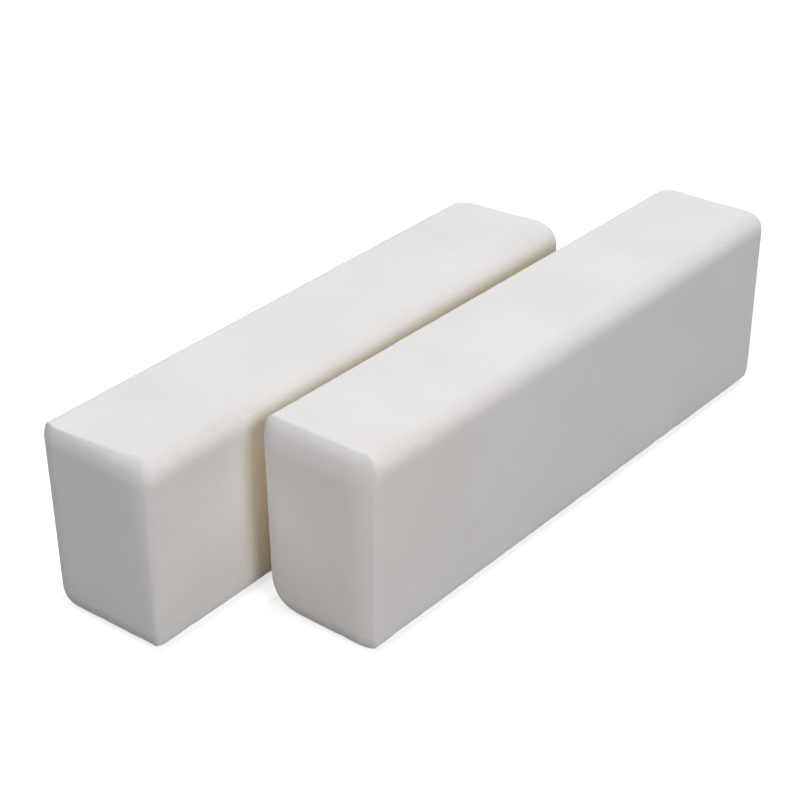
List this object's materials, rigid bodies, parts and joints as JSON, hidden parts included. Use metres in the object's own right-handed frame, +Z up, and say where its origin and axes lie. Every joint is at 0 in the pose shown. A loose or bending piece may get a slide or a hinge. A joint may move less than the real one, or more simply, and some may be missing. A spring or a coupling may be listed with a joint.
{
  "type": "gymnastics chalk block",
  "caption": "Pair of long pressed magnesium carbonate chalk bars with softly rounded edges, lying loose side by side.",
  "frame": {"origin": "on the floor, under the middle of the pair's bounding box", "axes": "+Z up, +Y along the bars' length towards their far ends, +X from the left bar towards the right bar"},
  "size_m": [0.0746, 0.19, 0.0498],
  "materials": {
    "chalk": "matte"
  },
  "bodies": {
    "left_block": {"left_block": "chalk"},
    "right_block": {"right_block": "chalk"}
  },
  "joints": [
    {"name": "right_block_lift", "type": "slide", "parent": "left_block", "child": "right_block", "axis": [0, 0, 1], "range_m": [0, 0.07]}
  ]
}
